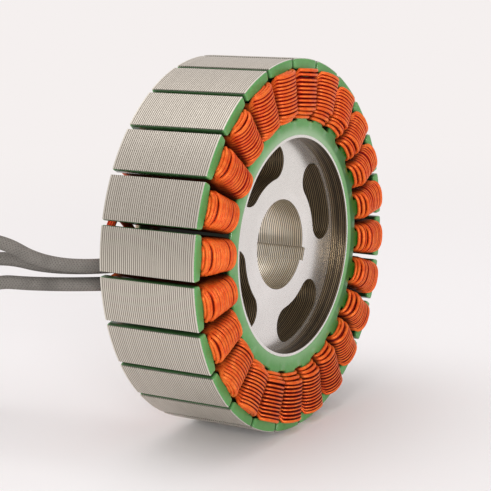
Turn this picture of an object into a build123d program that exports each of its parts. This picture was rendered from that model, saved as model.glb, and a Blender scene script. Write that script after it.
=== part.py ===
"""Wound stator of an outer-rotor motor: a keyed, webbed steel core, one coil on every tooth and three sleeved leads.

The motor axis lies along Y, the wound face seen first looks towards -Y and +Z is up. The origin is
on the axis, in the middle of the steel stack. The stator stands on its rim, as it does on a bench,
with a slot mouth exactly at the bottom.
"""
from build123d import *
import math
import os

# Steel stack
outer_radius = 41.0          # outside of the tooth tips
rim_bore_radius = 23.8       # wall of the recess on each side of the web
sheet_thickness = 0.5        # one lamination
rim_sheet_count = 8          # ring-shaped laminations on each side of the web
web_sheet_count = 30         # webbed laminations in the middle

# Teeth and slots
tooth_count = 24
tooth_width = 3.4            # parallel tooth body
yoke_depth = 2.7             # from the recess wall to the slot floor
tip_depth = 2.45             # tip thickness where it meets the tooth body
tip_edge = 1.9               # tip thickness at the slot mouth
slot_mouth = 1.3             # gap between neighbouring tips

# Hub and web
bore_radius = 10.0
key_width = 3.0
key_depth = 1.3
hub_wall = 4.8               # from the bore to a window
window_count = 4
window_strip = 1.1           # web left between a window and the recess wall
window_span = 59.0           # degrees from end to end, round ends included

# Epoxy coating on the yoke faces, the tooth ends and the slot walls
coat = 0.2
bare_rim = 0.6               # bare steel left round the recess
bare_tip_edge = 0.26         # bare steel left along the outer edge of each tip

# Coils
wire_diameter = 0.95
winding_fit = 0.03           # between the coating and the first layer
groove = 0.3                 # depth of the valley between two turns
crown = 0.75                 # how far the end turns arch away from the tooth end
shoulder_depth = 2.3         # from the crown of an end turn down to its shoulder
shoulder_run = 1.9           # from the shoulder in to the flat of the crown
slot_gap = 0.06              # least gap between a coil and the middle of its slot

# Joined wires on the back face
link_diameter = 1.4
link_start = 200.0           # degrees, where the first phase link leaves the leads
link_span = 96.0             # degrees covered by each phase link
link_break = 6.0             # degrees between two phase links
splice_diameter = 1.9
splice_start = 152.0
splice_span = 22.0
seat_gap = 0.05

# Leads
sleeve_diameter = 3.0
collar_diameter = 4.0
collar_length = 14.0
collar_edge = 0.45
tinned_diameter = 2.0
tinned_length = 9.0

# Worked-out places, with z along the motor axis until each piece is laid on the bench
web_half = web_sheet_count * sheet_thickness / 2
rim_height = rim_sheet_count * sheet_thickness
stack_half = web_half + rim_height
pitch = 360 / tooth_count
slot_floor_radius = rim_bore_radius + yoke_depth
window_inner_radius = bore_radius + hub_wall
window_outer_radius = rim_bore_radius - window_strip
first_window = 1.5 * pitch
coat_bore_radius = rim_bore_radius + bare_rim
coat_tip_radius = outer_radius - bare_tip_edge
coated_end = stack_half + coat
layer_rise = wire_diameter * math.cos(math.radians(30))
coil_half_tunnel = tooth_width / 2 + coat + winding_fit
coil_inner_end = coated_end + winding_fit
coil_foot = slot_floor_radius + coat + winding_fit
turns_in_layer = int((outer_radius - tip_depth - coat - coil_foot) / wire_diameter)
floor_z = -outer_radius * math.cos(math.asin(slot_mouth / 2 / outer_radius))
lie = floor_z + collar_diameter / 2


def turned(u, v, degrees):
    """The point u, v of a tooth's or slot's own axes, turned about the motor axis."""
    a = math.radians(degrees)
    return u * math.cos(a) - v * math.sin(a), u * math.sin(a) + v * math.cos(a)


def slot_face(skin):
    """One slot, centred on +X and open past the rim. The skin narrows it on every wall."""
    half_body = tooth_width / 2 + skin
    floor = slot_floor_radius + skin
    mouth = [(outer_radius + slot_mouth, slot_mouth / 2 - skin)]
    mouth.append((outer_radius - tip_edge - skin, slot_mouth / 2 - skin))
    mouth.append(turned(outer_radius - tip_depth - skin, -half_body, pitch / 2))
    mouth.append(turned(math.sqrt(floor**2 - half_body**2), -half_body, pitch / 2))
    mirror = [(x, -y) for x, y in reversed(mouth)]
    return make_face(Polyline(*mouth, *mirror, close=True))


def toothed_face(outside, inside, skin=0.0):
    """A ring from inside to outside with every slot cut into it."""
    slots = [Rot(0, 0, k * pitch) * slot_face(skin) for k in range(tooth_count)]
    return Circle(outside) - Circle(inside) - slots


def slab(face, low, high):
    """The face made solid from z low to z high."""
    return Pos(0, 0, low) * extrude(face, high - low)


def window_face(number):
    """A kidney window with round ends, centred on a tooth."""
    middle = (window_inner_radius + window_outer_radius) / 2
    width = window_outer_radius - window_inner_radius
    reach = window_span / 2 - math.degrees(math.asin(width / 2 / middle))
    centre = first_window + number * 360 / window_count
    return SlotArc(CenterArc((0, 0), middle, centre - reach, 2 * reach), width)


def rim_pack(low):
    """Bonded ring laminations that stand proud of the web and leave the recess open."""
    return slab(toothed_face(outer_radius, rim_bore_radius), low, low + rim_height)


def web_pack():
    """Bonded webbed laminations with the hub bore, its keyway on a spoke and the kidney windows."""
    windows = [window_face(k) for k in range(window_count)]
    spoke = first_window - 180 / window_count
    keyway = Rot(0, 0, spoke) * Pos(bore_radius, 0) * Rectangle(2 * key_depth, key_width)
    face = toothed_face(outer_radius, bore_radius) - windows - keyway
    return slab(face, -web_half, web_half)


def coating():
    """One cured skin over both yoke faces, the tooth ends and the walls of every slot."""
    skin = slab(toothed_face(coat_tip_radius, coat_bore_radius, coat), -coated_end, coated_end)
    steel = slab(toothed_face(outer_radius, rim_bore_radius), -stack_half, stack_half)
    return skin - steel


def turn_outline(u, build):
    """Outline of the coil at distance u from the axis, for a winding that is build thick."""
    full = wire_diameter + layer_rise
    run = math.hypot(shoulder_depth, shoulder_run)
    lean_v, lean_z = shoulder_depth / run, shoulder_run / run
    reach = (coil_half_tunnel + full) * lean_v + (coil_inner_end + crown + full - shoulder_depth) * lean_z
    reach -= full - build
    side = coil_half_tunnel + build
    top = coil_inner_end + crown + build
    quarter = [(side, (reach - side * lean_v) / lean_z), ((reach - top * lean_z) / lean_v, top)]
    half = quarter + [(-v, z) for v, z in reversed(quarter)]
    ring = half + [(-v, -z) for v, z in half]
    return Wire.make_polygon([(u, v, z) for v, z in ring])


def coil(steps):
    """One tooth's winding, in which each turn is a ridge.

    The wire lies in two layers. Steps gives the share of the second layer's height at each turn,
    numbered from the yoke, where it drops into the first. The slot limits the turns at the yoke.
    """
    builds = []
    for i in range(turns_in_layer):
        room = (coil_foot + i * wire_diameter) * math.tan(math.radians(pitch / 2)) - slot_gap
        builds.append(min(wire_diameter + steps.get(i, 1) * layer_rise, room - coil_half_tunnel))
    sections = [turn_outline(coil_foot, builds[0] - groove)]
    for i, build in enumerate(builds):
        after = builds[min(i + 1, turns_in_layer - 1)]
        start = coil_foot + i * wire_diameter
        sections.append(turn_outline(start + wire_diameter / 2, build))
        sections.append(turn_outline(start + wire_diameter, min(build, after) - groove))
    body = Solid.make_loft(sections, ruled=True)
    return body - Box(4 * outer_radius, 2 * coil_half_tunnel, 2 * coil_inner_end)


def yoke_arc(diameter, start, span):
    """A round wire or sleeve that lies on the back of the yoke, inside the coils."""
    radius = (coat_bore_radius + coil_foot) / 2
    height = -(coated_end + seat_gap + diameter / 2)
    path = Pos(0, 0, height) * CenterArc((0, 0), radius, start, span)
    return sweep(Plane(path @ 0, z_dir=path % 0) * Circle(diameter / 2), path)


def free_lead(name, points):
    """A sleeved lead along straight runs and tangent arcs, with its collar and its tinned end."""
    radii = []
    for before, here, after in zip(points, points[1:], points[2:]):
        run_in = Vector(*here) - Vector(*before)
        run_out = Vector(*after) - Vector(*here)
        half_turn = math.radians(run_in.get_angle(run_out)) / 2
        radii.append(0.45 * min(run_in.length, run_out.length) / math.tan(half_turn))
    path = FilletPolyline(*points, radius=radii)
    section = Circle(sleeve_diameter / 2)
    tube = sweep(Plane(path @ 0, z_dir=path % 0) * section, path)
    print(name, "length", round(path.length, 1), "radii", [round(r) for r in radii])
    print(name, "volume over section x length", round(tube.volume / path.length / section.area, 4))
    end = Plane(path @ 1, z_dir=path % 1)
    collar = end * extrude(Circle(collar_diameter / 2), collar_length)
    collar = chamfer(collar.edges().filter_by(GeomType.CIRCLE), collar_edge)
    tinned = end * Pos(0, 0, collar_length) * extrude(Circle(tinned_diameter / 2), tinned_length)
    return tube, collar, tinned


def keep(name, shape):
    """Write one piece, named as it is known on the bench."""
    shape.label = name
    export_step(shape, f"parts/{name}.step")


def lay(name, shape):
    """Turn a piece of the core so that the motor axis lies along Y, and write it."""
    keep(name, Rot(90, 0, 0) * shape)


os.makedirs("parts", exist_ok=True)

lay("front_rim_laminations", rim_pack(web_half))
lay("web_laminations", web_pack())
lay("back_rim_laminations", rim_pack(-stack_half))
lay("epoxy_coating", coating())

# Hand winding steps down at other turns from tooth to tooth: three patterns follow one another round the core
patterns = [coil({0: 0.6, 9: 0.6}), coil({0: 0.6, 1: 0.7, 8: 0.6}), coil({0: 0.5, 3: 0.6, 10: 0.7})]
for k in range(tooth_count):
    lay(f"coil_{k + 1:02d}", Rot(0, 0, (k + 0.5) * pitch) * patterns[k % len(patterns)])

# The phase links join the coils of one phase, and the splice joins the three phases at the star point
for k, name in enumerate(("phase_link_u", "phase_link_v", "phase_link_w")):
    lay(name, yoke_arc(link_diameter, link_start + k * (link_span + link_break), link_span))
lay("star_splice_sleeve", yoke_arc(splice_diameter, splice_start, splice_span))

# Routes of the leads. Two start in the valley between two coils and the third on the crown of a coil.
# They run back, sag to the bench and lie on it.
routes = {
    "lead_upper": [
        (-35.2, 13.1, 0.6),
        (-35.7, 28, -1.9),
        (-37, 44, 5),
        (-38.3, 58, -1.5),
        (-39.4, 69.3, -19.2),
        (-37.2, 89, lie + 0.1),
        (-21.5, 101.2, lie),
    ],
    "lead_middle": [
        (-31.9, 13.7, -0.3),
        (-32.4, 29, -2.7),
        (-33.8, 45, -1.4),
        (-34.2, 57.9, -6.3),
        (-34.5, 73.3, -21),
        (-28.6, 89.5, lie + 0.1),
        (-15, 100.4, lie),
    ],
    "lead_lower": [
        (-34.2, 14.5, -3.8),
        (-35, 30, -5.6),
        (-36.8, 46, -6.2),
        (-34.9, 60.8, -24.3),
        (-39.4, 78.7, lie),
        (-38.2, 92.5, lie + 0.1),
        (-28.1, 101.3, lie),
    ],
}
for name, points in routes.items():
    tube, collar, tinned = free_lead(name, points)
    keep(name, tube)
    keep(name + "_collar", collar)
    keep(name + "_tinned_end", tinned)
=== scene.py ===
"""Wound stator of an outer-rotor motor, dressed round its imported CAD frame."""
import math

import bmesh
import bpy
from mathutils import Matrix, Vector
from mathutils.geometry import tessellate_polygon


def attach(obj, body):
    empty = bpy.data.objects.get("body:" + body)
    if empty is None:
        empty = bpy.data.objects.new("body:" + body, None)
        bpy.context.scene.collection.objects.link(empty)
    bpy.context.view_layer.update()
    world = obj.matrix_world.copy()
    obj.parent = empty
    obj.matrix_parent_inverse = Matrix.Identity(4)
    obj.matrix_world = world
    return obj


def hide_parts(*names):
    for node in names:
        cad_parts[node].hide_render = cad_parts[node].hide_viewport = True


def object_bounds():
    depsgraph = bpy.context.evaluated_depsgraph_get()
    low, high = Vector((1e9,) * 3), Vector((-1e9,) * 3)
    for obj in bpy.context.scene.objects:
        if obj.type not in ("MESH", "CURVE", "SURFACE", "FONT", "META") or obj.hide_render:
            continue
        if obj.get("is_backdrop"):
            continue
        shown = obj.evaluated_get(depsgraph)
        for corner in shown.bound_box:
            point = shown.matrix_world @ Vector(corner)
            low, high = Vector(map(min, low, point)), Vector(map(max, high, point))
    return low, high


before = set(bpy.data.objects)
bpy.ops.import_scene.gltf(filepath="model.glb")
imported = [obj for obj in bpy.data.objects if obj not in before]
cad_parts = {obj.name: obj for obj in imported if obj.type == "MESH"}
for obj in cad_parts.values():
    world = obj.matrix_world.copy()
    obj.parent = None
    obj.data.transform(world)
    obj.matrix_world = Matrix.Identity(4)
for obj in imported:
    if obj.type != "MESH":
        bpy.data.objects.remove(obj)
cad_low, cad_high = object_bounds()
mm = 0.001

# The camera stands where the photograph was taken from: in front of the wound face and well to its left,
# a little above the axis, with a long lens.
camera_place = (-293.234 * mm, -178.937 * mm, 72.795 * mm)
camera_azimuth = math.radians(-58.394)
camera_elevation = math.radians(12.109)
camera_roll = math.radians(-1.356)
camera = bpy.data.objects.new("camera", bpy.data.cameras.new("camera"))
camera.data.sensor_width = 36
camera.data.lens = 115.41
camera.data.clip_start = 0.01
camera.data.clip_end = 50
turn = Matrix.Rotation(camera_azimuth, 4, "Z") @ Matrix.Rotation(math.pi / 2 - camera_elevation, 4, "X")
camera.matrix_world = Matrix.Translation(camera_place) @ turn @ Matrix.Rotation(camera_roll, 4, "Z")
bpy.context.scene.collection.objects.link(camera)
bpy.context.scene.camera = camera


# Three leads: soft bundles of fine tinned strands, each drawn into a braided sleeve of grey yarn.
# They leave the coils' back at the left, run on, sag to the bench and lie there.
# A shrink collar holds the sleeve at the far end, and the bundle past it is dipped in tin.
class Value:
    """A socket of a node tree, used like a number in an expression: each operator adds its Math node."""

    def __init__(self, book, socket):
        self.book = book
        self.socket = socket

    def out(self, name):
        """Another output of the same node."""
        return Value(self.book, self.socket.node.outputs[name])

    def math(self, operation, *others):
        """A Math node on this value and the others."""
        return self.book.node("ShaderNodeMath", {"operation": operation}, dict(enumerate((self, *others))))

    def flipped(self, operation, other):
        """A Math node with this value second, for a number on the operator's left."""
        return self.book.node("ShaderNodeMath", {"operation": operation}, {0: other, 1: self})

    def __add__(self, other):
        return self.math("ADD", other)

    def __radd__(self, other):
        return self.flipped("ADD", other)

    def __sub__(self, other):
        return self.math("SUBTRACT", other)

    def __rsub__(self, other):
        return self.flipped("SUBTRACT", other)

    def __mul__(self, other):
        return self.math("MULTIPLY", other)

    def __rmul__(self, other):
        return self.flipped("MULTIPLY", other)

    def __truediv__(self, other):
        return self.math("DIVIDE", other)

    def __pow__(self, other):
        return self.math("POWER", other)

    def __neg__(self):
        return self.math("MULTIPLY", -1)

    def __abs__(self):
        return self.math("ABSOLUTE")

    def __gt__(self, other):
        return self.math("GREATER_THAN", other)

    def __lt__(self, other):
        return self.math("LESS_THAN", other)

    def ramp(self, low, high):
        """0 at low and below, 1 at high and above, with soft ends."""
        settings = {"interpolation_type": "SMOOTHSTEP"}
        return self.book.node("ShaderNodeMapRange", settings, {0: self, 1: low, 2: high})


class Book:
    """A node tree being written: node() adds one node and gives back its first output."""

    def __init__(self, tree):
        self.tree = tree

    def node(self, kind, settings=None, inputs=None):
        made = self.tree.nodes.new(kind)
        for name, value in (settings or {}).items():
            setattr(made, name, value)
        for name, value in (inputs or {}).items():
            if isinstance(value, Value):
                self.tree.links.new(value.socket, made.inputs[name])
            else:
                made.inputs[name].default_value = value
        return Value(self, made.outputs[0]) if made.outputs else None

    def mix(self, share, first, second):
        """A colour between first and second."""
        made = self.tree.nodes.new("ShaderNodeMix")
        made.data_type = "RGBA"
        factor, colour_a, colour_b = (made.inputs[k] for k in (0, 6, 7))
        for socket, value in ((factor, share), (colour_a, first), (colour_b, second)):
            if isinstance(value, Value):
                self.tree.links.new(value.socket, socket)
            else:
                socket.default_value = value
        return Value(self, made.outputs[2])

    def place(self):
        """The object's own coordinates in millimetres, as three values."""
        spot = self.node("ShaderNodeTexCoord").out("Object")
        parts = self.node("ShaderNodeSeparateXYZ", {}, {0: spot})
        return parts.out("X") / mm, parts.out("Y") / mm, parts.out("Z") / mm

    def facing(self):
        """The surface's own direction, as three values."""
        parts = self.node("ShaderNodeSeparateXYZ", {}, {0: self.node("ShaderNodeTexCoord").out("Normal")})
        return parts.out("X"), parts.out("Y"), parts.out("Z")

    def attribute(self, name):
        """A number kept on the piece's own points."""
        return self.node("ShaderNodeAttribute", {"attribute_name": name}).out("Fac")

    def noise(self, scale, detail, roughness):
        """Noise on the object's own coordinates, with scale in waves per metre."""
        spot = self.node("ShaderNodeTexCoord").out("Object")
        inputs = {"Vector": spot, "Scale": scale, "Detail": detail, "Roughness": roughness}
        return self.node("ShaderNodeTexNoise", {}, inputs)

    def vector(self, x, y, z):
        return self.node("ShaderNodeCombineXYZ", {}, {0: x, 1: y, 2: z})

    def bump(self, height, distance):
        """A surface direction for height, whose 1 stands a distance proud."""
        return self.node("ShaderNodeBump", {}, {"Height": height, "Distance": distance})


def finish(name, write):
    """A new material whose shader sockets are what write gives back."""
    material = bpy.data.materials.new(name)
    material.use_nodes = True
    material.node_tree.nodes.clear()
    book = Book(material.node_tree)
    shader = book.node("ShaderNodeBsdfPrincipled", {}, write(book))
    book.node("ShaderNodeOutputMaterial", {}, {"Surface": shader})
    return material


def rgb(red, green, blue):
    """A colour as it is seen on a screen, 0 to 255, made linear."""
    parts = []
    for part in (red, green, blue):
        part /= 255
        parts.append(part / 12.92 if part <= 0.04045 else ((part + 0.055) / 1.055) ** 2.4)
    return (*parts, 1.0)


def put(name, mesh, material=None, smooth=True):
    """Link a finished mesh as a piece at the origin."""
    piece = bpy.data.objects.new(name, mesh)
    bpy.context.scene.collection.objects.link(piece)
    if material:
        mesh.materials.append(material)
    if smooth:
        mesh.polygons.foreach_set("use_smooth", [True] * len(mesh.polygons))
    return piece


sleeve_radius = 1.5 * mm
sleeve_sides = 32
line_parts = 40
collar_length = 14 * mm
collar_radius = 2.0 * mm
collar_mouth = 0.78
tinned_length = 9 * mm
tinned_radius = 1.0 * mm
tinned_sides = 24
tinned_point = 0.5
end_parts = 24
yarn_turn = 9.0 * mm
yarns = 11
bench_level = -40.995
# Each lead's line in millimetres, from the coils' back to its collar, which lies on the bench
lie = bench_level + collar_radius / mm
lead_routes = {
    "lead_upper": [
        (-35.2, 13.1, 0.6), (-35.7, 28, -1.9), (-37, 44, 5), (-38.3, 58, -1.5), (-39.4, 69.3, -19.2),
        (-37.2, 89, lie + 0.1), (-21.5, 101.2, lie),
    ],
    "lead_middle": [
        (-31.9, 13.7, -0.3), (-32.4, 29, -2.7), (-33.8, 45, -0.5), (-34.2, 57.9, -5.7), (-34.5, 73.3, -21),
        (-28.6, 89.5, lie + 0.1), (-15, 100.4, lie),
    ],
    "lead_lower": [
        (-34.2, 14.5, -3.8), (-35, 30, -5.6), (-36.8, 48, -5.8), (-34.9, 61.4, -23.9), (-39.4, 78.7, lie),
        (-38.2, 92.5, lie + 0.1), (-28.1, 101.3, lie),
    ],
}


def write_yarn(book):
    """Two sets of ribs wind round the sleeve against each other, and pass over and under by turns."""
    chart = book.node("ShaderNodeUVMap", {"uv_map": "sleeve"})
    spot = book.node("ShaderNodeSeparateXYZ", {}, {0: chart})
    along = spot.out("Y") / yarn_turn
    around = spot.out("X")
    left = ((around + along) * yarns).math("FRACT") - 0.5
    right = ((around - along) * yarns).math("FRACT") - 0.5
    left_rib = (1 - abs(left) * 2) ** 0.6
    right_rib = (1 - abs(right) * 2) ** 0.6
    over = (((around * yarns).math("FRACT") - 0.5) * ((along * yarns).math("FRACT") - 0.5)) > 0
    rib = left_rib * over + right_rib * (1 - over)
    fibre = book.noise(4200, 3, 0.6)
    patch = book.noise(90, 2, 0.5)
    shade = book.mix(rib.ramp(0.05, 0.75), rgb(30, 28, 26), rgb(122, 118, 112))
    shade = book.mix(fibre.ramp(0.45, 0.75) * 0.45, shade, rgb(156, 153, 148))
    shade = book.mix(patch.ramp(0.42, 0.66) * 0.4, shade, rgb(62, 60, 57))
    normal = book.bump(rib + fibre * 0.5, 0.16 * mm)
    return {"Base Color": shade, "Roughness": 0.82 - rib * 0.1, "Normal": normal, "Specular IOR Level": 0.3}


def write_shrink(book):
    ripple = book.noise(700, 3, 0.55)
    shade = book.mix(ripple.ramp(0.35, 0.7), rgb(30, 30, 31), rgb(44, 44, 46))
    normal = book.bump(ripple, 0.12 * mm)
    return {"Base Color": shade, "Roughness": 0.42 + ripple * 0.2, "Normal": normal}


def write_tin(book):
    ripple = book.noise(1600, 3, 0.6)
    shade = book.mix(ripple.ramp(0.3, 0.7), rgb(176, 176, 174), rgb(214, 214, 212))
    normal = book.bump(ripple, 0.1 * mm)
    return {"Base Color": shade, "Metallic": 0.95, "Roughness": 0.28 + ripple * 0.2, "Normal": normal}


yarn_finish = finish("braided grey yarn", write_yarn)
shrink_finish = finish("black shrink tube", write_shrink)
tin_finish = finish("dipped tin", write_tin)


def spline_points(route, parts):
    """Points read from the smooth line through a route's control points."""
    curve = bpy.data.curves.new("route", "CURVE")
    curve.dimensions = "3D"
    line = curve.splines.new("NURBS")
    line.points.add(len(route) - 1)
    for point, (x, y, z) in zip(line.points, route):
        point.co = (x * mm, y * mm, z * mm, 1)
    line.order_u = 3
    line.use_endpoint_u = True
    line.resolution_u = parts
    curve.resolution_u = parts
    draft = bpy.data.objects.new("route", curve)
    bpy.context.scene.collection.objects.link(draft)
    bpy.context.view_layer.update()
    mesh = bpy.data.meshes.new_from_object(draft.evaluated_get(bpy.context.evaluated_depsgraph_get()))
    points = [v.co.copy() for v in mesh.vertices]
    bpy.data.objects.remove(draft)
    bpy.data.meshes.remove(mesh)
    return points


def frames_along(points):
    """A tangent and two cross directions at each point, carried along with no twist."""
    frames = []
    side = Vector((0, 0, 1))
    for i in range(len(points)):
        tangent = (points[min(i + 1, len(points) - 1)] - points[max(i - 1, 0)]).normalized()
        side = (side - tangent * side.dot(tangent)).normalized()
        frames.append((tangent, side, tangent.cross(side)))
    return frames


def tube(points, radii, sides, chart_name):
    """A closed round tube with its own length on a UV map: once round is 1 and along is in metres."""
    shape = bmesh.new()
    chart = shape.loops.layers.uv.new(chart_name)
    frames = frames_along(points)
    travel = [0.0]
    for a, b in zip(points, points[1:]):
        travel.append(travel[-1] + (b - a).length)
    rings = []
    for point, radius, (tangent, side, up) in zip(points, radii, frames):
        ring = []
        for k in range(sides):
            a = 2 * math.pi * k / sides
            ring.append(shape.verts.new(point + side * (radius * math.cos(a)) + up * (radius * math.sin(a))))
        rings.append(ring)
    for i, (ring, after) in enumerate(zip(rings, rings[1:])):
        for k in range(sides):
            n = (k + 1) % sides
            face = shape.faces.new((ring[k], ring[n], after[n], after[k]))
            corners = ((k, i), (k + 1, i), (k + 1, i + 1), (k, i + 1))
            for loop, (u, v) in zip(face.loops, corners):
                loop[chart].uv = (u / sides, travel[v])
    shape.faces.new(list(reversed(rings[0])))
    shape.faces.new(rings[-1])
    mesh = bpy.data.meshes.new(chart_name)
    shape.to_mesh(mesh)
    shape.free()
    return mesh


for name, route in lead_routes.items():
    line = spline_points(route, line_parts)
    sleeve_mesh = tube(line, [sleeve_radius] * len(line), sleeve_sides, "sleeve")
    sleeve = put(name + "_sleeve", sleeve_mesh, yarn_finish)
    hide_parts(name)
    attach(sleeve, "root")
    heading = (line[-1] - line[-2]).normalized()
    end = line[-1]
    run = [end + heading * (collar_length * k / end_parts) for k in range(end_parts + 1)]
    full = [min(1, k / 2, (end_parts - k) / 2) for k in range(end_parts + 1)]
    swell = [collar_radius * (collar_mouth + (1 - collar_mouth) * share) for share in full]
    collar_mesh = tube(run, swell, sleeve_sides, "collar")
    collar = put(name + "_shrink_collar", collar_mesh, shrink_finish)
    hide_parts(name + "_collar")
    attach(collar, "root")
    start = end + heading * collar_length
    run = [start + heading * (tinned_length * k / end_parts) for k in range(end_parts + 1)]
    waist = [1 - tinned_point * max(0, (k - end_parts + 3) / 3) ** 2 for k in range(end_parts + 1)]
    tinned_mesh = tube(run, [tinned_radius * share for share in waist], tinned_sides, "tin")
    tinned = put(name + "_tinned_bundle", tinned_mesh, tin_finish)
    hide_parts(name + "_tinned_end")
    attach(tinned, "root")

# The core: sheets of electrical steel, stamped, stacked and bonded. The rims are ring-shaped sheets, and
# webbed sheets between them carry the hub. The tips are ground bright, the bore is honed, and the walls of
# the recess and the windows are as the punch left them. From here on, sizes are in millimetres.
sheet = 0.5
stack_half = 11.5


def from_axis(x, z):
    """The distance of a place from the bore's axis."""
    return (x * x + z * z) ** 0.5


def write_steel(book):
    """Rolled faces, and edges that show each sheet: ground tips, a honed bore and cut walls."""
    x, y, z = book.place()
    radius = from_axis(x, z)
    edge_on = 1 - abs(book.facing()[1]).ramp(0.5, 0.9)
    count = (y + stack_half) / sheet
    own = book.node("ShaderNodeTexWhiteNoise", {"noise_dimensions": "1D"}, {"W": count.math("FLOOR")})
    from_middle = abs(count.math("FRACT") - 0.5)
    last_sheet = abs(y).ramp(stack_half - 0.3, stack_half - 0.1)
    gap = from_middle.ramp(0.2, 0.4) * (1 - last_sheet)
    inside = 1 - radius.ramp(24.4, 26.0)
    windows = 1 - radius.ramp(23.2, 23.6)
    bore = 1 - radius.ramp(11.6, 12.4)
    cloud = book.noise(60, 3, 0.55)
    grain = book.noise(2600, 2, 0.6)
    ground = book.mix(own * 0.5, rgb(206, 199, 187), rgb(220, 213, 201))
    ground = book.mix(gap * 0.85, ground, rgb(92, 84, 72))
    ground = book.mix(last_sheet, ground, rgb(214, 209, 198))
    burr = 1 - from_middle.ramp(0.1, 0.24)
    cut = book.mix(own * 0.6, rgb(44, 37, 31), rgb(62, 53, 44))
    cut = book.mix(burr * (0.28 + own * 0.36 + windows * 0.34), cut, rgb(190, 166, 126))
    honed = book.mix(own * 0.5, rgb(238, 226, 204), rgb(255, 252, 244))
    honed = book.mix(cloud.ramp(0.42, 0.62) * 0.25, honed, rgb(160, 142, 114))
    honed = book.mix(from_middle.ramp(0.29, 0.4), honed, rgb(18, 12, 6))
    edge = book.mix(inside, ground, cut)
    edge = book.mix(bore, edge, honed)
    face = book.mix(cloud.ramp(0.35, 0.7), rgb(222, 219, 216), rgb(231, 228, 225))
    face = book.mix(grain.ramp(0.5, 0.8) * 0.25, face, rgb(200, 196, 192))
    shade = book.mix(edge_on, face, edge)
    metallic = 0.86 - edge_on * (0.21 - bore * 0.2)
    roughness = 0.2 + edge_on * (0.16 - bore * 0.08) + grain * 0.08 * (1 - bore)
    height = (1 - gap) * edge_on * (1 - bore * 0.6) + grain * 0.05 * (1 - bore)
    normal = book.bump(height, 0.03 * mm)
    return {"Base Color": shade, "Metallic": metallic, "Roughness": roughness, "Normal": normal}


steel_finish = finish("bonded electrical steel", write_steel)
for name in ("front_rim_laminations", "web_laminations", "back_rim_laminations"):
    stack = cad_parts[name]
    stack.data.materials.clear()
    stack.data.materials.append(steel_finish)

# The coating: green epoxy powder, melted on to the warm core and cured. It covers the yoke faces, the tooth
# ends and the slot walls, pools on the slot floors and rounds every edge that it crosses. The recess and the
# outside of the tips were masked off.
teeth = 24
pitch = 2 * math.pi / teeth
outer_radius = 41.0
slot_mouth = 1.3
tip_edge = 1.9
tip_depth = 2.45
tooth_width = 3.4
steel_floor_radius = 26.5
pool = 1.0
coat = 0.2
coat_bore_radius = 24.4
coat_rim_radius = 40.88
edge_round = 0.42
edge_parts = 6
hole_round = 0.5
lip_round = 0.3
heel_round = 0.45
root_round = 0.75
corner_parts = 4
tip_shares = (-0.36, -0.18, 0, 0.18, 0.36)
ring_count = 288
crisp_angle = math.radians(35)


def turned(u, v, angle):
    """A point of a flat drawing, turned about the axis."""
    return u * math.cos(angle) - v * math.sin(angle), u * math.sin(angle) + v * math.cos(angle)


def rounded(before, corner, after, radius):
    """Points of the arc that rounds a corner."""
    before, corner, after = Vector(before), Vector(corner), Vector(after)
    way_in = (before - corner).normalized()
    way_out = (after - corner).normalized()
    half = way_in.angle(way_out) / 2
    centre = corner + (way_in + way_out).normalized() * (radius / math.sin(half))
    start = (corner + way_in * (radius / math.tan(half)) - centre).normalized()
    end = (corner + way_out * (radius / math.tan(half)) - centre).normalized()
    return [centre + start.slerp(end, k / corner_parts) * radius for k in range(corner_parts + 1)]


def slot_line(skin, rim):
    """One slot's wall from its right lip round the floor to its left lip, pushed in by skin."""
    body = tooth_width / 2 + skin
    bottom = steel_floor_radius + pool + skin
    mouth = slot_mouth / 2 - skin
    lip = (math.sqrt(rim**2 - mouth**2), mouth)
    heel = (outer_radius - tip_edge - skin, mouth)
    neck = turned(outer_radius - tip_depth - skin, -body, pitch / 2)
    root = turned(math.sqrt(bottom**2 - body**2), -body, pitch / 2)
    tip_arc = (rim * math.cos(pitch / 4), rim * math.sin(pitch / 4))
    line = rounded(tip_arc, lip, heel, lip_round + skin)
    line += rounded(lip, heel, neck, heel_round + skin)
    line += rounded(heel, neck, root, root_round - skin)
    line += rounded(neck, root, (root[0], 0), root_round - skin)
    return [(x, -y) for x, y in line] + [(x, y) for x, y in reversed(line)]


def coat_ring(shape, skin, rim, wall_level, tip_level):
    """One ring of vertices round the toothed outline. Slot walls lie at one level and tips at another."""
    ring = []
    for k in range(teeth):
        line = slot_line(skin, rim)
        for j, (x, y) in enumerate(line):
            share = min(1, j / corner_parts, (len(line) - 1 - j) / corner_parts)
            level = tip_level + (wall_level - tip_level) * share
            x, z = turned(x, y, k * pitch)
            ring.append(shape.verts.new((x * mm, -level * mm, z * mm)))
        for share in tip_shares:
            x, z = turned(rim, 0, (k + 0.5 + share) * pitch)
            ring.append(shape.verts.new((x * mm, -tip_level * mm, z * mm)))
    return ring


def round_ring(shape, radius, level):
    """One ring of vertices round the axis."""
    ring = []
    for k in range(ring_count):
        x, z = turned(radius, 0, 2 * math.pi * k / ring_count)
        ring.append(shape.verts.new((x * mm, -level * mm, z * mm)))
    return ring


def band(shape, first, second):
    """Faces between two closed rings of one count."""
    for k in range(len(first)):
        n = (k + 1) % len(first)
        shape.faces.new((first[k], first[n], second[n], second[k]))


def flat_between(shape, outside, inside):
    """A flat face, in triangles, between an outer ring and a hole."""
    ring = outside + inside
    flat = [[Vector((v.co.x / mm, v.co.z / mm, 0)) for v in part] for part in (outside, inside)]
    for corners in tessellate_polygon(flat):
        shape.faces.new([ring[c] for c in corners])


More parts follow.
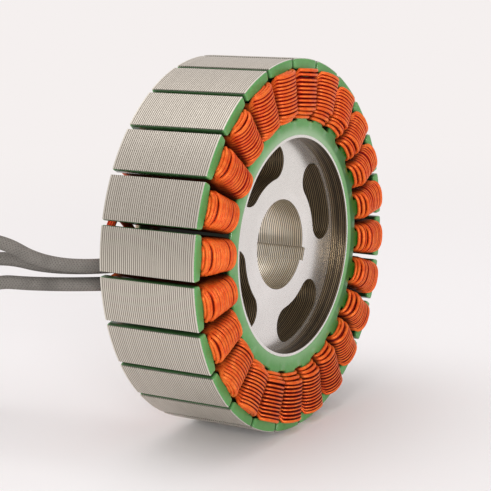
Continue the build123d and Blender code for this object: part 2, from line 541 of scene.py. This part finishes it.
def coating_mesh():
    """Both faces with their rounded edges, joined through the slots, outside and against the steel."""
    shape = bmesh.new()
    wall_count = len(slot_line(coat, coat_rim_radius))
    tooth_count = wall_count + len(tip_shares)
    outer_rings = []
    inner_rings = []
    for side in (1, -1):
        rows = []
        holes = []
        for k in range(edge_parts + 1):
            a = math.pi / 2 * k / edge_parts
            inset = edge_round * (1 - math.cos(a))
            wall_level = side * (stack_half + coat - edge_round * (1 - math.sin(a)))
            tip_level = side * (stack_half + coat * math.sin(a))
            rows.append(coat_ring(shape, coat - inset, coat_rim_radius - inset, wall_level, tip_level))
            holes.append(round_ring(shape, coat_bore_radius + hole_round * (1 - math.cos(a)), tip_level))
        for first, second in zip(rows, rows[1:]):
            band(shape, first, second)
        for first, second in zip(holes, holes[1:]):
            band(shape, first, second)
        flat_between(shape, rows[-1], holes[-1])
        under = coat_ring(shape, 0, coat_rim_radius, side * stack_half, side * stack_half)
        inner = []
        for k, vertex in enumerate(under):
            on_wall = 0 < k % tooth_count < wall_count - 1
            inner.append(vertex if on_wall else rows[0][k])
            if not on_wall:
                shape.verts.remove(vertex)
        flat_between(shape, inner, holes[0])
        outer_rings.append(rows[0])
        inner_rings.append(inner)
    for rings in (outer_rings, inner_rings):
        for k in range(teeth):
            for j in range(k * tooth_count, k * tooth_count + wall_count - 1):
                shape.faces.new((rings[0][j], rings[0][j + 1], rings[1][j + 1], rings[1][j]))
    bmesh.ops.recalc_face_normals(shape, faces=shape.faces)
    mesh = bpy.data.meshes.new("epoxy_skin")
    shape.to_mesh(mesh)
    shape.free()
    return mesh


def off_tooth(x, z):
    """How far round a place lies from the middle of its tooth, in pitches."""
    return abs((z.math("ARCTAN2", x) / pitch).math("FRACT") - 0.5)


def write_epoxy(book):
    """Pale beside the recess, where little coat lies, with painted light making it paler towards the top and
    painted shade making it less pale on the right; painted shade, a dark strong green, round the coils' feet
    on the right side; and painted shade, nearly black, down in the slots.
    """
    x, y, z = book.place()
    radius = from_axis(x, z)
    peel = book.noise(900, 2, 0.5)
    flow = book.noise(240, 2, 0.5)
    cloud = book.noise(110, 3, 0.55)
    speck = book.noise(3000, 1, 0.5)
    # The right side of the ring: painted shade strengthens the green there and takes away some of the pale
    shaded = x.ramp(8, 24)
    # Pale beside the recess, where little coat lies, with painted light making it paler towards the top and
    # painted shade making it less pale on the right
    thin_coat_and_painted_light = (1 - (radius + cloud * 1.1).ramp(25.0, 27.6)) * (1 - shaded * 0.5)
    # Painted shade: a dark strong green round the coils' feet, on the right side only
    painted_feet_shade = (radius + cloud * 0.8).ramp(25.5, 26.2) * (1 - radius.ramp(36.0, 38.0)) * shaded
    pooled = off_tooth(x, z).ramp(0.36, 0.44) * (radius + cloud * 0.6).ramp(25.8, 26.5)
    shade = book.mix(cloud.ramp(0.3, 0.7), rgb(84, 144, 78), rgb(100, 160, 94))
    shade = book.mix(thin_coat_and_painted_light * (0.28 + z.ramp(5, 25) * 0.4), shade, rgb(172, 198, 164))
    shade = book.mix(painted_feet_shade * 0.95, shade, rgb(8, 88, 14))
    shade = book.mix(speck.ramp(0.62, 0.8) * 0.2, shade, rgb(70, 128, 66))
    # Painted shade, nearly black, on the coat inside the stack: on the slot walls and at the slot mouths
    inside = 1 - abs(y).ramp(10.8, 11.6)
    slot_shade = (1 - radius.ramp(38.6, 39.6)) * 0.2 + (1 - radius.ramp(40.7, 40.95)) * 0.76
    shade = book.mix(inside * slot_shade, shade, rgb(12, 16, 10))
    normal = book.bump(peel * 0.3 + speck * 0.08 + flow, 0.16 * mm)
    return {
        "Base Color": shade, "Roughness": 0.34 + cloud * 0.14, "Normal": normal, "Specular IOR Level": 0.2,
        "Coat Weight": 0.12 + pooled * 0.6,
    }


epoxy_finish = finish("green epoxy powder coat", write_epoxy)
coating = put("epoxy_skin", coating_mesh(), epoxy_finish)
coating.data.set_sharp_from_angle(angle=crisp_angle)
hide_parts("epoxy_coating")
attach(coating, "root")

# Twenty-four coils of enamelled copper wire, wound by hand round the coated teeth, three layers over each
# end. The top layer stops short of the yoke, and on some teeth short of the tip, where the winder stepped
# down, and the end turns of the lower layers show there. The end turns lean outward over the slot's mouth.
wire_radius = 0.4
wire_sides = 8
arch_points = 21
arch_power = 0.8
layers = 3
fit = 0.03
coil_gap = 0.12
coil_half_tunnel = tooth_width / 2 + coat + fit
tooth_end = stack_half + coat + fit
layer_rise = 0.8
layer_fall = 0.5
side_level = 10.3
first_turn = 27.16
last_turn = 37.92
front_drift = 0.12
back_start = 0.06
back_travel = 0.88
crown_lean = 1.15
tip_lean = 0.2
lean_level = 11.2
lean_rise = 0.8
side_step = (0.5, 0.66, 0.82)
hand_play = 0.05
hand_tilt = 0.12
hand_lean = 0.04
seeds_a_layer = 50


def swept(book, line, radius):
    """A round wire along a line of points, with closed ends."""
    curve = book.node("GeometryNodeMeshToCurve", {}, {"Mesh": line})
    ring = book.node("GeometryNodeCurvePrimitiveCircle", {}, {"Resolution": wire_sides, "Radius": radius})
    parts = {"Curve": curve, "Profile Curve": ring, "Fill Caps": True}
    return book.node("GeometryNodeCurveToMesh", {}, parts)


def copper_turns(book, size, layer):
    """One layer of one coil as a single wire: half turns over the front and over the back by turns.

    Where the top layer leaves out two turns or more at the yoke, the one below it leaves out one.
    """
    top_layer = layer == layers - 1
    last = size["Turns"] - 1
    start = size["First turn"]
    end = last
    if top_layer:
        start = start + size["Yoke step"]
        end = last - size["Tip step"]
    elif layer:
        start = start + (size["Yoke step"] > 1.5)
    count = end - start + 1
    points = book.node("GeometryNodeMeshLine", {"mode": "OFFSET"}, {"Count": count * (2 * arch_points)})
    k = book.node("GeometryNodeInputIndex")
    half = (k / arch_points + 0.001).math("FLOOR")
    step = k - half * arch_points
    whole = (half / 2 + 0.001).math("FLOOR")
    side = 1 - 2 * (half - whole * 2)
    back = (1 - side) / 2
    turn = whole + start
    share = step / (arch_points - 1)
    place = turn / last
    arch = abs((share * math.pi).math("SINE")) ** arch_power
    bow = (share * math.pi).math("COSINE")
    across = bow.math("SIGN") * abs(bow) ** arch_power

    def chance(offset, spread):
        """A number of its own for each half turn, between -spread and spread."""
        made = book.tree.nodes.new("FunctionNodeRandomValue")
        made.data_type = "FLOAT"
        book.tree.links.new(half.socket, made.inputs["ID"])
        seed = size["Seed"] + (offset + seeds_a_layer * layer)
        book.tree.links.new(seed.socket, made.inputs["Seed"])
        lowest, highest = made.inputs[2], made.inputs[3]
        lowest.default_value = -spread
        highest.default_value = spread
        return Value(book, made.outputs[1])

    advance = (share - 0.5) * front_drift * (1 - back) + (back_start + share * back_travel) * back
    out = first_turn + (turn + advance) * (last_turn - first_turn) / size["Turns"]
    if top_layer:
        out = out + ((turn > size["Split"] - 0.5) - place) * size["Split gap"]
    rise = tooth_end + wire_radius + layer_rise * layer
    front_fall = (1 - back) * place.ramp(0.2, 1.0) * size["Front fall"]
    top = rise - (back * place.ramp(0.45, 1.0) + front_fall) * (layer_fall * layer)
    top = top + chance(1, hand_play)
    level = side_level + (top - side_level) * arch
    tilt = chance(3, hand_tilt) * (share - 0.5) * arch
    held = place ** 6
    past_tip = ((level - lean_level) / (top - lean_level).math("MINIMUM", lean_rise)).ramp(0, 1)
    lean = crown_lean * (1 - held) + (crown_lean * held + place * tip_lean) * past_tip
    u = out + lean + tilt + chance(4, hand_lean) * arch
    room = out * math.tan(pitch / 2) - coil_gap - wire_radius
    width = coil_half_tunnel + wire_radius + side_step[layer] + place * size["Spread"] + chance(2, hand_play)
    v = side * width.math("MINIMUM", room) * across + chance(5, hand_play) * arch
    angle = size["Tooth angle"]
    cos = angle.math("COSINE")
    sin = angle.math("SINE")
    spot = book.vector((u * cos - v * sin) * mm, -(side * level) * mm, (u * sin + v * cos) * mm)
    line = book.node("GeometryNodeSetPosition", {}, {"Geometry": points, "Position": spot})
    end_turn = (turn > end - 0.5) - (turn < start + 0.5)
    kept = {"Geometry": line, "Name": "open_side", "Value": end_turn}
    line = book.node("GeometryNodeStoreNamedAttribute", {}, kept)
    # Turns of the lower layers that don't show are marked for painted shade in the enamel
    shown = abs(end_turn)
    if layer == layers - 2:
        below_step = turn < size["First turn"] + size["Yoke step"] - 0.5
        past_step = turn > last + 0.5 - size["Tip step"]
        shown = shown.math("MAXIMUM", below_step + past_step)
    kept = {"Geometry": line, "Name": "shade_under_turns", "Value": 0.0 if top_layer else 1 - shown}
    line = book.node("GeometryNodeStoreNamedAttribute", {}, kept)
    return swept(book, line, wire_radius * mm)


def wire_tree(name, kinds, count, make_wire):
    """A tree with the named inputs, which joins the wires that make_wire gives and enamels them."""
    tree = bpy.data.node_groups.new(name, "GeometryNodeTree")
    tree.interface.new_socket("Geometry", in_out="INPUT", socket_type="NodeSocketGeometry")
    for label, kind in kinds.items():
        tree.interface.new_socket(label, in_out="INPUT", socket_type="NodeSocket" + kind)
    tree.interface.new_socket("Geometry", in_out="OUTPUT", socket_type="NodeSocketGeometry")
    book = Book(tree)
    given = book.node("NodeGroupInput")
    size = {label: given.out(label) for label in kinds}
    together = tree.nodes.new("GeometryNodeJoinGeometry")
    for number in range(count):
        tree.links.new(make_wire(book, size, number).socket, together.inputs[0])
    wires = book.node("GeometryNodeSetShadeSmooth", {}, {"Geometry": Value(book, together.outputs[0])})
    wires = book.node("GeometryNodeRealizeInstances", {}, {"Geometry": wires})
    wires = book.node("GeometryNodeSetMaterial", {}, {"Geometry": wires, "Material": size["Enamel"]})
    book.node("NodeGroupOutput", {}, {"Geometry": wires})
    return tree


def grown(name, tree, sizes):
    """A plain mesh piece made by a tree from named sizes."""
    draft = bpy.data.objects.new(name, bpy.data.meshes.new(name + "_draft"))
    bpy.context.scene.collection.objects.link(draft)
    modifier = draft.modifiers.new("made", "NODES")
    modifier.node_group = tree
    for socket in tree.interface.items_tree:
        if socket.in_out == "INPUT" and socket.name in sizes:
            modifier[socket.identifier] = sizes[socket.name]
    bpy.context.view_layer.update()
    mesh = bpy.data.meshes.new_from_object(draft.evaluated_get(bpy.context.evaluated_depsgraph_get()))
    bpy.data.objects.remove(draft)
    return put(name, mesh)


def write_enamel(book):
    """Orange on the crowns, with painted shade: red between turns, wider on the right and darker towards the
    bottom, dark red on lower turns that lie under others, and nearly black in the slots and between coils.
    """
    x, y, z = book.place()
    radius = from_axis(x, z)
    nx, ny, nz = book.facing()
    # Painted shade between turns: red on each wire's flanks where a neighbour lies, but not on an end turn's
    # open side
    across = (nx * x + nz * z) / radius
    open_side = book.attribute("open_side")
    covered = 1 - (across * open_side).ramp(0.05, 0.3)
    # The painted shade between turns is narrow on the left coils and wide on the rest
    wide_shade_share = x.ramp(-36, -22)
    # Where the painted shade starts across each wire: later on the end turns, sooner on the bottom coils
    low = 0.36 + abs(open_side) * 0.3 - (1 - z.ramp(-36, -24)) * 0.16
    painted_turn_shade = (abs(across).ramp(low, low + 0.34) * wide_shade_share + abs(across).ramp(0.8, 1.0) * (1 - wide_shade_share)) * covered
    # The colour of that painted shade, darker towards the bottom
    turn_shade_colour = book.mix(z.ramp(-26, 6), rgb(100, 6, 3), rgb(146, 3, 0))
    streak = book.noise(700, 3, 0.6)
    patch = book.noise(150, 2, 0.5)
    shade = book.mix(streak.ramp(0.3, 0.7), rgb(228, 88, 32), rgb(244, 122, 50))
    shade = book.mix(patch.ramp(0.45, 0.75) * 0.4, shade, rgb(198, 70, 22))
    shade = book.mix(painted_turn_shade * 0.97, shade, turn_shade_colour)
    # Painted shade, dark red, on lower-layer turns that lie under other turns
    shade = book.mix(book.attribute("shade_under_turns") * 0.95, shade, rgb(104, 2, 0))
    # Painted shade, nearly black, on the wire down in the slots and between neighbouring coils below the
    # crowns
    in_slot_shade = (1 - abs(y).ramp(9.4, 12.0)) * (1 - radius.ramp(40.0, 41.0))
    off = off_tooth(x, z).ramp(0.34, 0.46)
    between = off * (1 - abs(y).ramp(11.6, 13.4)) * (1 - radius.ramp(34.5, 37.0))
    shade = book.mix(in_slot_shade.math("MAXIMUM", between) * 0.93, shade, rgb(26, 10, 8))
    normal = book.bump(streak, 0.03 * mm)
    metallic = 0.1 + (1 - painted_turn_shade) * 0.18
    roughness = 0.28 + streak * 0.12 + painted_turn_shade * 0.3
    return {
        "Base Color": shade, "Metallic": metallic, "Roughness": roughness, "Normal": normal,
        "Specular IOR Level": 0.16,
    }


enamel_finish = finish("copper in orange enamel", write_enamel)
winding_kinds = {
    "Turns": "Int", "First turn": "Int", "Yoke step": "Int", "Tip step": "Int", "Split": "Int",
    "Split gap": "Float", "Front fall": "Float", "Spread": "Float", "Tooth angle": "Float", "Seed": "Int",
    "Enamel": "Material",
}
winding_tree = wire_tree("coil winding", winding_kinds, layers, copper_turns)
# For each tooth: the turns of a full layer, the turns that the top layer leaves out at the yoke and at the
# tip, the turn before which it opens, and how far it opens there
hand_work = [
    (13, 2, 0, 6, 0.5), (13, 2, 0, 8, 0.5), (14, 3, 0, 0, 0.0), (14, 3, 0, 0, 0.0), (14, 3, 0, 0, 0.0),
    (12, 2, 0, 10, 0.3), (14, 2, 0, 3, 0.15), (14, 2, 0, 0, 0.0), (14, 2, 1, 0, 0.0), (13, 0, 2, 3, 0.45),
    (13, 2, 2, 5, 0.4), (13, 1, 2, 4, 0.35), (13, 1, 2, 3, 0.4), (13, 2, 1, 0, 0.0), (14, 2, 0, 3, 0.25),
    (14, 2, 0, 0, 0.0), (13, 2, 0, 3, 0.3), (13, 2, 0, 0, 0.0), (14, 2, 0, 3, 0.2), (14, 2, 0, 3, 0.25),
    (13, 1, 0, 2, 0.4), (13, 2, 0, 3, 0.4), (13, 1, 0, 5, 0.45), (13, 3, 0, 5, 0.45),
]
# These start a turn further out, and their upper layers fall off towards the tip
short_coils = (1, 2, 3, 4, 21, 22, 23, 24)
short_fall = 0.6
tip_spread = 0.5
for k, (turns, yoke_step, tip_step, split, split_gap) in enumerate(hand_work):
    name = f"coil_{k + 1:02d}"
    short = k + 1 in short_coils
    sizes = {
        "Turns": turns, "First turn": int(short), "Yoke step": yoke_step, "Tip step": tip_step,
        "Split": split, "Split gap": split_gap, "Front fall": short_fall * short, "Spread": tip_spread,
        "Tooth angle": (k + 0.5) * pitch, "Seed": 17 + 31 * k, "Enamel": enamel_finish,
    }
    coil = grown(name + "_wire", winding_tree, sizes)
    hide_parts(name)
    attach(coil, "root")

# The joined wires on the back of the yoke. Each phase link is three enamelled wires twisted into a rope and
# laid round inside the coils, and the star point is a soldered splice in a varnished sleeve.
strand_radius = 0.325
strands = 3
# Three strands that touch lie this many of their radii from the rope's middle
strand_reach = 1.1547
rope_radius = 0.7
rope_points = 140
rope_twists = 6.5
link_rest = 0.05
link_radius = (coat_bore_radius + steel_floor_radius + coat + fit) / 2
link_level = -(stack_half + coat + link_rest + rope_radius)
links = {"phase_link_u": 200, "phase_link_v": 302, "phase_link_w": 404}
link_span = 96
splice_start = 152
splice_span = 22
splice_radius = 0.95
splice_mouth = 0.7
splice_parts = 30
splice_sides = 24


def rope_strand(book, size, strand):
    """One strand of a link's rope, wound round the line of the link."""
    points = book.node("GeometryNodeMeshLine", {"mode": "OFFSET"}, {"Count": rope_points})
    share = book.node("GeometryNodeInputIndex") / (rope_points - 1)
    angle = size["Start"] + size["Span"] * share
    twist = share * size["Twists"] * 2 * math.pi + strand * 2 * math.pi / strands
    reach = size["Strand radius"] * strand_reach
    u = size["Radius"] + reach * twist.math("COSINE")
    level = size["Level"] + reach * twist.math("SINE")
    spot = book.vector(u * angle.math("COSINE") * mm, -level * mm, u * angle.math("SINE") * mm)
    line = book.node("GeometryNodeSetPosition", {}, {"Geometry": points, "Position": spot})
    return swept(book, line, size["Strand radius"] * mm)


rope_kinds = {
    "Radius": "Float", "Level": "Float", "Start": "Float", "Span": "Float", "Strand radius": "Float",
    "Twists": "Float", "Enamel": "Material",
}
rope_tree = wire_tree("phase link", rope_kinds, strands, rope_strand)
for name, start in links.items():
    sizes = {
        "Radius": link_radius, "Level": link_level, "Start": math.radians(start),
        "Span": math.radians(link_span), "Strand radius": strand_radius, "Twists": rope_twists,
        "Enamel": enamel_finish,
    }
    link = grown(name + "_rope", rope_tree, sizes)
    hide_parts(name)
    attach(link, "root")


def write_varnished(book):
    weave = book.noise(1300, 2, 0.5)
    shade = book.mix(weave.ramp(0.35, 0.65), rgb(214, 205, 176), rgb(232, 226, 204))
    return {"Base Color": shade, "Roughness": 0.5 + weave * 0.2, "Normal": book.bump(weave, 0.06 * mm)}


varnished_finish = finish("varnished glass sleeve", write_varnished)
splice_line = []
swell = []
for k in range(splice_parts + 1):
    x, z = turned(link_radius, 0, math.radians(splice_start + splice_span * k / splice_parts))
    splice_line.append(Vector((x * mm, (stack_half + coat + link_rest + splice_radius) * mm, z * mm)))
    fullness = splice_mouth + (1 - splice_mouth) * min(1, k / 3, (splice_parts - k) / 3)
    swell.append(splice_radius * mm * fullness)
splice = put("star_splice_cover", tube(splice_line, swell, splice_sides, "splice"), varnished_finish)
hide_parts("star_splice_sleeve")
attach(splice, "root")

# The tails: bare enamelled wires, the coils' own ends. They come out of the sleeves, lie over the back of
# the coil beside them, cross the next slot and go into the coil beyond it.
tail_parts = 12
tail_sides = 12
tail_routes = [
    [
        (-35.2, 13.4, 0.9), (-34.6, 14.8, 2.8), (-34.2, 14.9, 5.4), (-34.0, 14.2, 7.9), (-34.1, 13.8, 9.4),
        (-33.4, 12.6, 11.4),
    ],
    [
        (-35.0, 13.6, 0.7), (-34.1, 14.9, 2.6), (-33.7, 14.9, 5.6), (-34.1, 13.4, 8.1), (-34.2, 13.0, 9.4),
        (-32.9, 12.4, 11.0),
    ],
    [
        (-34.6, 13.8, 0.6), (-33.4, 15.0, 2.4), (-33.2, 14.8, 5.6), (-34.1, 12.7, 8.1), (-34.2, 12.4, 9.3),
        (-32.3, 12.4, 10.8),
    ],
    [
        (-31.5, 13.9, 0.3), (-29.4, 15.1, 2.4), (-28.6, 14.9, 5.0), (-28.9, 12.9, 6.9), (-30.2, 12.5, 8.1),
        (-32.0, 12.4, 9.6),
    ],
    [
        (-31.2, 13.9, 0.2), (-28.6, 15.1, 2.2), (-27.6, 14.9, 4.8), (-27.7, 12.8, 6.6), (-29.0, 12.4, 7.8),
        (-30.8, 12.3, 9.3),
    ],
    [
        (-30.9, 13.9, 0.1), (-27.8, 15.1, 2.0), (-26.6, 14.9, 4.6), (-26.6, 12.7, 6.3), (-27.8, 12.4, 7.5),
        (-29.6, 12.3, 9.0),
    ],
]
shape = bmesh.new()
for route in tail_routes:
    line = spline_points(route, tail_parts)
    one_tail = tube(line, [wire_radius * mm] * len(line), tail_sides, "tail")
    shape.from_mesh(one_tail)
    bpy.data.meshes.remove(one_tail)
tail_mesh = bpy.data.meshes.new("tails")
shape.to_mesh(tail_mesh)
shape.free()
tails = put("lead_tail_wires", tail_mesh, enamel_finish)
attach(tails, "root")

# The bench: a plain pale surface that runs off into the backdrop. Near the stator it is lit and takes its
# shadow, and further off the camera and bright metal see the backdrop's own tone in it.
paper = rgb(245, 240, 239)
bench_half = 6000
lit_to = 90
paper_from = 420


def write_bench(book):
    """Lit and shaded near the stator, and further off as bright as the backdrop by itself."""
    x, y, z = book.place()
    far = ((x * x + y * y) ** 0.5).ramp(lit_to, paper_from)
    path = book.node("ShaderNodeLightPath")
    shown = far * path.out("Is Camera Ray").math("MAXIMUM", path.out("Is Glossy Ray"))
    bright = book.mix(path.out("Is Glossy Ray"), paper, rgb(250, 246, 243))
    glow = book.mix(shown, (0, 0, 0, 1), bright)
    shade = book.mix(shown, rgb(248, 247, 248), (0, 0, 0, 1))
    return {
        "Base Color": shade, "Roughness": 0.9, "Specular IOR Level": 0.0, "Emission Color": glow,
        "Emission Strength": 1.0,
    }


bench_finish = finish("pale bench", write_bench)
shape = bmesh.new()
bmesh.ops.create_grid(shape, x_segments=1, y_segments=1, size=bench_half * mm)
bmesh.ops.translate(shape, verts=shape.verts, vec=(0, 0, bench_level * mm))
bench_mesh = bpy.data.meshes.new("bench")
shape.to_mesh(bench_mesh)
shape.free()
bench = put("bench", bench_mesh, bench_finish, smooth=False)
bench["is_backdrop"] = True

# The room: soft light from all round, a little stronger from behind the stator, and two soft boxes. Bright
# metal mirrors it lighter above and beyond the stator, and the camera sees plain backdrop.
world = bpy.data.worlds.new("studio")
bpy.context.scene.world = world
world.use_nodes = True
world.node_tree.nodes.clear()
book = Book(world.node_tree)
path = book.node("ShaderNodeLightPath")
way = book.node("ShaderNodeSeparateXYZ", {}, {0: book.node("ShaderNodeTexCoord").out("Generated")})
away = way.out("X") * 0.852 + way.out("Y") * 0.524
mirrored = 0.2 + away.ramp(-0.4, 0.6) * 0.45 + way.out("Z").ramp(-0.05, 0.5) * 0.45
fill = 0.66 + way.out("Y").ramp(0.0, 0.9) * 0.35
lighting = book.node("ShaderNodeBackground", {}, {"Color": paper, "Strength": fill})
reflection = book.node("ShaderNodeBackground", {}, {"Color": paper, "Strength": mirrored})
backdrop = book.node("ShaderNodeBackground", {}, {"Color": paper, "Strength": 1.0})
room = book.node("ShaderNodeMixShader", {}, {0: path.out("Is Glossy Ray"), 1: lighting, 2: reflection})
room = book.node("ShaderNodeMixShader", {}, {0: path.out("Is Camera Ray"), 1: room, 2: backdrop})
book.node("ShaderNodeOutputWorld", {}, {"Surface": room})


def lamp(name, place, size, watts):
    """A round soft box at a place in metres, aimed at the stator."""
    light = bpy.data.lights.new(name, "AREA")
    light.shape = "DISK"
    light.size = size
    light.energy = watts
    holder = bpy.data.objects.new(name, light)
    bpy.context.scene.collection.objects.link(holder)
    aim = (-Vector(place)).to_track_quat("-Z", "Y").to_matrix().to_4x4()
    holder.matrix_world = Matrix.Translation(place) @ aim


lamp("overhead", (-0.1, 0.12, 1.0), 0.9, 3.2)
lamp("front", (-0.9, -0.75, 0.22), 0.5, 6.4)

bpy.context.scene.view_settings.view_transform = "Standard"
visual_low, visual_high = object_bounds()
sizes = {"cad": [list(cad_low), list(cad_high)], "visual": [list(visual_low), list(visual_high)]}
